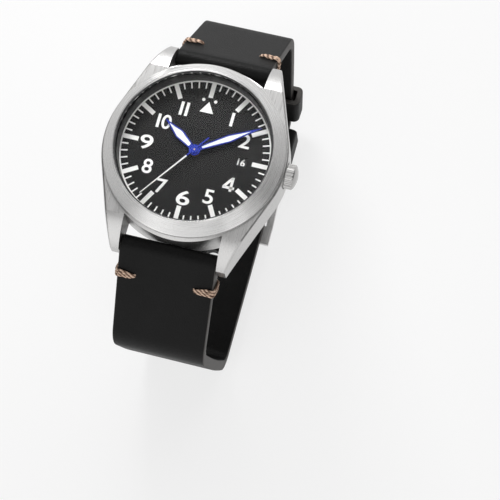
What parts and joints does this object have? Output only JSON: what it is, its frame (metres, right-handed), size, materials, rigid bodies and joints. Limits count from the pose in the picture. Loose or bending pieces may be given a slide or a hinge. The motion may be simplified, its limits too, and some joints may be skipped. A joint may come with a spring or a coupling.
{
  "type": "pilot watch",
  "caption": "Round steel pilot wristwatch with black dial, sloping bezel, glass back over an automatic movement, and a black leather strap closed by its pin buckle.",
  "frame": {"origin": "centre of the case back's outer face", "axes": "+Z out of the dial, +Y to 12 o'clock, +X to 3 o'clock and the crown"},
  "size_m": [0.0437, 0.0808, 0.0661],
  "materials": {
    "case_steel": "satin",
    "polished_steel": "polished",
    "crystal": "clear",
    "black_metal": "matte",
    "dial_black": "satin",
    "print_white": "matte",
    "lume": "matte",
    "blued_steel": "glossy",
    "strap_leather": "semi-matte",
    "thread": "twisted thread",
    "rubber": "matte",
    "nylon": "matte",
    "rhodium": "striped and satin",
    "movement_steel": "polished",
    "gilt": "polished",
    "ruby": "polished"
  },
  "bodies": {
    "case": {"mid_case": "case_steel", "bezel": "case_steel", "crystal": "crystal", "crystal_gasket": "nylon", "inner_ring": "black_metal", "case_back": "case_steel", "back_glass": "crystal", "case_gasket": "rubber", "movement_ring": "case_steel", "crown_tube": "polished_steel", "spring_bar_12": "polished_steel", "spring_bar_6": "polished_steel", "strap_short": "strap_leather", "strap_long": "strap_leather", "strap_stitches": "thread", "fixed_keeper": "strap_leather", "dial": "dial_black", "dial_marks": "print_white", "main_plate": "rhodium", "barrel_bridge": "rhodium", "train_bridge": "rhodium", "auto_bridge": "rhodium", "balance_cock": "rhodium", "pallet_bridge": "rhodium", "jewels": "ruby", "movement_screws": "blued_steel"},
    "free_keeper": {"free_keeper": "strap_leather"},
    "buckle": {"buckle_frame": "case_steel", "buckle_bar": "polished_steel"},
    "tang": {"buckle_tang": "case_steel"},
    "winding_pinion": {"winding_pinion": "movement_steel"},
    "crown": {"crown": "polished_steel", "winding_stem": "movement_steel"},
    "clutch": {"sliding_clutch": "movement_steel"},
    "setting_lever": {"setting_lever": "movement_steel"},
    "crown_wheel": {"crown_wheel": "movement_steel"},
    "barrel_arbor": {"barrel_arbor": "movement_steel", "ratchet_wheel": "movement_steel"},
    "click": {"click": "movement_steel"},
    "seconds": {"seconds_hand": "blued_steel", "fourth_wheel": "gilt"},
    "minutes": {"minute_hand": "blued_steel", "minute_hand_lume": "lume", "cannon_pinion": "movement_steel", "centre_wheel": "gilt"},
    "hours": {"hour_hand": "blued_steel", "hour_hand_lume": "lume", "hour_wheel": "gilt"},
    "minute_wheel": {"minute_wheel": "gilt"},
    "date": {"date_disc": "print_white"},
    "third_wheel": {"third_wheel": "gilt"},
    "escape_wheel": {"escape_wheel": "movement_steel"},
    "barrel": {"barrel": "gilt", "mainspring": "movement_steel"},
    "pallets": {"pallet_fork": "movement_steel"},
    "balance": {"balance_wheel": "gilt", "hairspring": "blued_steel"},
    "reverser_1": {"reverser_1": "movement_steel"},
    "reverser_2": {"reverser_2": "movement_steel"},
    "rotor": {"rotor": "rhodium"}
  },
  "joints": [
    {"name": "seconds_turn", "type": "hinge", "parent": "case", "child": "seconds", "pos_m": [0, 0, 0.0089], "axis": [0, 0, -1], "continuous": true},
    {"name": "minute_turn", "type": "hinge", "parent": "case", "child": "minutes", "pos_m": [0, 0, 0.00855], "axis": [0, 0, -1], "continuous": true},
    {"name": "hour_turn", "type": "hinge", "parent": "case", "child": "hours", "pos_m": [0, 0, 0.0082], "axis": [0, 0, -1], "continuous": true},
    {"name": "minute_wheel_turn", "type": "hinge", "parent": "case", "child": "minute_wheel", "pos_m": [0.00138, 0.00197, 0.0071], "axis": [0, 0, -1], "continuous": true},
    {"name": "date_turn", "type": "hinge", "parent": "case", "child": "date", "pos_m": [0, 0, 0.0071], "axis": [0, 0, -1], "continuous": true},
    {"name": "third_wheel_turn", "type": "hinge", "parent": "case", "child": "third_wheel", "pos_m": [-0.00381, -0.00139, 0.0045], "axis": [0, 0, -1], "continuous": true},
    {"name": "escape_wheel_turn", "type": "hinge", "parent": "case", "child": "escape_wheel", "pos_m": [0.00015, -0.00416, 0.005], "axis": [0, 0, -1], "continuous": true},
    {"name": "barrel_turn", "type": "hinge", "parent": "case", "child": "barrel", "pos_m": [-0.00222, 0.00609, 0.005], "axis": [0, 0, -1], "continuous": true},
    {"name": "pallet_swing", "type": "hinge", "parent": "case", "child": "pallets", "pos_m": [0.00252, -0.00509, 0.0051], "axis": [0, 0, 1], "range_deg": [-5, 5]},
    {"name": "balance_swing", "type": "hinge", "parent": "case", "child": "balance", "pos_m": [0.00514, -0.00613, 0.004], "axis": [0, 0, 1], "range_deg": [-270, 270]},
    {"name": "crown_turn", "type": "hinge", "parent": "case", "child": "winding_pinion", "pos_m": [0, 0, 0.0055], "axis": [1, 0, 0], "continuous": true},
    {"name": "crown_pull", "type": "slide", "parent": "winding_pinion", "child": "crown", "axis": [1, 0, 0], "range_m": [0, 0.0012]},
    {"name": "clutch_slide", "type": "slide", "parent": "winding_pinion", "child": "clutch", "axis": [1, 0, 0], "range_m": [-0.0013, 0.0003]},
    {"name": "setting_lever_swing", "type": "hinge", "parent": "case", "child": "setting_lever", "pos_m": [0.01135, 0.0036, 0.0044], "axis": [0, 0, 1], "range_deg": [-6, 30]},
    {"name": "crown_wheel_turn", "type": "hinge", "parent": "case", "child": "crown_wheel", "pos_m": [0.005, 0.00264, 0.0033], "axis": [0, 0, 1], "continuous": true},
    {"name": "ratchet_turn", "type": "hinge", "parent": "case", "child": "barrel_arbor", "pos_m": [-0.00222, 0.00609, 0.0033], "axis": [0, 0, 1], "continuous": true},
    {"name": "click_lift", "type": "hinge", "parent": "case", "child": "click", "pos_m": [-0.0079, 0.0079, 0.0033], "axis": [0, 0, 1], "range_deg": [0, 8]},
    {"name": "rotor_turn", "type": "hinge", "parent": "case", "child": "rotor", "pos_m": [0, 0, 0.0023], "axis": [0, 0, 1], "continuous": true},
    {"name": "reverser_1_turn", "type": "hinge", "parent": "case", "child": "reverser_1", "pos_m": [-0.00226, -0.00082, 0.0032], "axis": [0, 0, 1], "continuous": true},
    {"name": "reverser_2_turn", "type": "hinge", "parent": "case", "child": "reverser_2", "pos_m": [0.00082, -0.00226, 0.0032], "axis": [0, 0, 1], "continuous": true},
    {"name": "free_keeper_slide", "type": "hinge", "parent": "case", "child": "free_keeper", "pos_m": [0, -0.19804, 0.01973], "axis": [1, 0, 0], "range_deg": [-0.08, 2.1]},
    {"name": "buckle_swing", "type": "hinge", "parent": "case", "child": "buckle", "pos_m": [0, 0.01577, -0.04698], "axis": [1, 0, 0], "range_deg": [0, 3]},
    {"name": "tang_swing", "type": "hinge", "parent": "buckle", "child": "tang", "pos_m": [0, 0.01577, -0.04698], "axis": [1, 0, 0], "range_deg": [0, 3]}
  ],
  "couplings": [
    {"joint": "minute_turn", "follows": "seconds_turn", "ratio": 0.016667},
    {"joint": "hour_turn", "follows": "seconds_turn", "ratio": 0.0013889},
    {"joint": "minute_wheel_turn", "follows": "seconds_turn", "ratio": -0.0055556},
    {"joint": "date_turn", "follows": "seconds_turn", "ratio": 0.000022401},
    {"joint": "third_wheel_turn", "follows": "seconds_turn", "ratio": -0.13333},
    {"joint": "escape_wheel_turn", "follows": "seconds_turn", "ratio": -12},
    {"joint": "barrel_turn", "follows": "seconds_turn", "ratio": -0.002381},
    {"joint": "clutch_slide", "follows": "crown_pull", "ratio": -0.83333},
    {"joint": "setting_lever_swing", "follows": "crown_pull", "rad_per_m": 331},
    {"joint": "crown_wheel_turn", "follows": "crown_turn", "ratio": 0.35},
    {"joint": "ratchet_turn", "follows": "crown_turn", "ratio": -0.23333},
    {"joint": "reverser_1_turn", "follows": "rotor_turn", "ratio": -0.53846},
    {"joint": "reverser_2_turn", "follows": "rotor_turn", "ratio": -0.53846}
  ]
}
